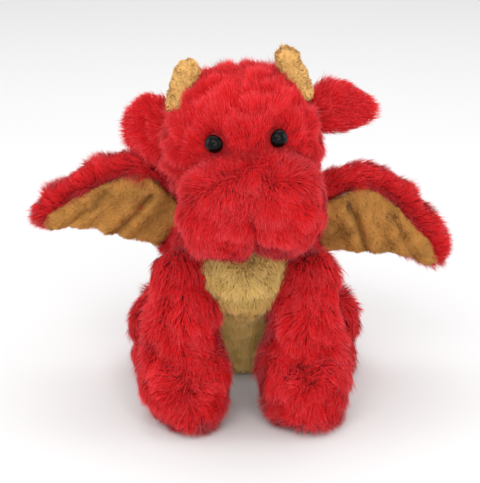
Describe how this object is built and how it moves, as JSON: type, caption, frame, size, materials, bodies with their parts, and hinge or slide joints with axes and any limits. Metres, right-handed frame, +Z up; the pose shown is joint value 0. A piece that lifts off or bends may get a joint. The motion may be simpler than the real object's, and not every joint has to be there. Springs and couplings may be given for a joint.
{
  "type": "hand puppet",
  "caption": "Sitting plush dragon hand puppet in long-pile fabric, with finger pockets in the head and front legs and a round hand opening underneath.",
  "frame": {"origin": "the middle of the round hand opening, on the floor the puppet sits on", "axes": "+Z is up, -Y is the way the puppet faces, +X is the puppet's left"},
  "size_m": [0.2885, 0.2866, 0.2409],
  "materials": {
    "red_fur": "matte",
    "gold_fur": "matte",
    "gold_plush": "matte",
    "horn_plush": "matte",
    "filling": "matte",
    "lining": "matte",
    "binding": "matte",
    "thread": "matte",
    "eye_plastic": "gloss",
    "washer_plastic": "matte"
  },
  "bodies": {
    "torso": {"body_skin": "red_fur", "belly_panel": "gold_fur", "body_stuffing": "filling", "palm_glove": "lining", "opening_hem": "binding"},
    "neck": {"neck_pad": "filling"},
    "head": {"head_skin": "red_fur", "head_stuffing": "filling", "finger_pocket_head": "lining", "muzzle_skin": "red_fur", "muzzle_stuffing": "filling", "muzzle_stitch": "thread", "eye_left": "eye_plastic", "eye_right": "eye_plastic", "eye_washers": "washer_plastic", "horn_left": "horn_plush", "horn_right": "horn_plush", "horn_stuffing": "filling"},
    "ear_left": {"ear_left": "red_fur"},
    "ear_right": {"ear_right": "red_fur"},
    "leg_left": {"leg_left_skin": "red_fur", "leg_left_stuffing": "filling", "finger_pocket_left": "lining"},
    "leg_right": {"leg_right_skin": "red_fur", "leg_right_stuffing": "filling", "finger_pocket_right": "lining"},
    "hind_left": {"hind_left_skin": "red_fur", "hind_left_stuffing": "filling"},
    "hind_right": {"hind_right_skin": "red_fur", "hind_right_stuffing": "filling"},
    "tail": {"tail_skin": "red_fur", "tail_stuffing": "filling"},
    "wing_left": {"wing_left_fur": "red_fur", "wing_left_wadding": "filling", "wing_left_lining": "gold_plush"},
    "wing_right": {"wing_right_fur": "red_fur", "wing_right_wadding": "filling", "wing_right_lining": "gold_plush"}
  },
  "joints": [
    {"name": "neck_turn", "type": "hinge", "parent": "torso", "child": "neck", "pos_m": [0, -0.076, 0.148], "axis": [0, -0.4755, 0.8797], "range_deg": [-25, 25], "stiffness_Nm_per_rad": 0.5},
    {"name": "head_nod", "type": "hinge", "parent": "neck", "child": "head", "pos_m": [0, -0.076, 0.148], "axis": [1, 0, 0], "range_deg": [-20, 12], "stiffness_Nm_per_rad": 0.6},
    {"name": "ear_left_flop", "type": "hinge", "parent": "head", "child": "ear_left", "pos_m": [0.04278, -0.07702, 0.19809], "axis": [-0.2465, -0.0172, 0.969], "range_deg": [-15, 15], "stiffness_Nm_per_rad": 0.02},
    {"name": "ear_right_flop", "type": "hinge", "parent": "head", "child": "ear_right", "pos_m": [-0.04877, -0.08342, 0.19168], "axis": [-0.1096, -0.0077, -0.994], "range_deg": [-15, 15], "stiffness_Nm_per_rad": 0.02},
    {"name": "leg_left_swing", "type": "hinge", "parent": "torso", "child": "leg_left", "pos_m": [0.042, -0.098, 0.09], "axis": [-1, 0, 0], "range_deg": [-5, 50], "stiffness_Nm_per_rad": 0.25},
    {"name": "leg_right_swing", "type": "hinge", "parent": "torso", "child": "leg_right", "pos_m": [-0.042, -0.098, 0.09], "axis": [-1, 0, 0], "range_deg": [-5, 50], "stiffness_Nm_per_rad": 0.25},
    {"name": "hind_left_lift", "type": "hinge", "parent": "torso", "child": "hind_left", "pos_m": [0.055, -0.034, 0.031], "axis": [-1, 0, 0], "range_deg": [-6, 20], "stiffness_Nm_per_rad": 0.25},
    {"name": "hind_right_lift", "type": "hinge", "parent": "torso", "child": "hind_right", "pos_m": [-0.055, -0.034, 0.031], "axis": [-1, 0, 0], "range_deg": [-6, 20], "stiffness_Nm_per_rad": 0.25},
    {"name": "wing_left_flap", "type": "hinge", "parent": "torso", "child": "wing_left", "pos_m": [0.0455, -0.047, 0.109], "axis": [-0.3566, -0.2378, 0.9035], "range_deg": [-12, 28], "stiffness_Nm_per_rad": 0.08},
    {"name": "wing_right_flap", "type": "hinge", "parent": "torso", "child": "wing_right", "pos_m": [-0.0455, -0.047, 0.109], "axis": [-0.3566, 0.2378, -0.9035], "range_deg": [-12, 28], "stiffness_Nm_per_rad": 0.08},
    {"name": "tail_sway", "type": "hinge", "parent": "torso", "child": "tail", "pos_m": [0, 0.038, 0.06], "axis": [0, 0, 1], "range_deg": [-23, 23], "stiffness_Nm_per_rad": 0.1}
  ]
}
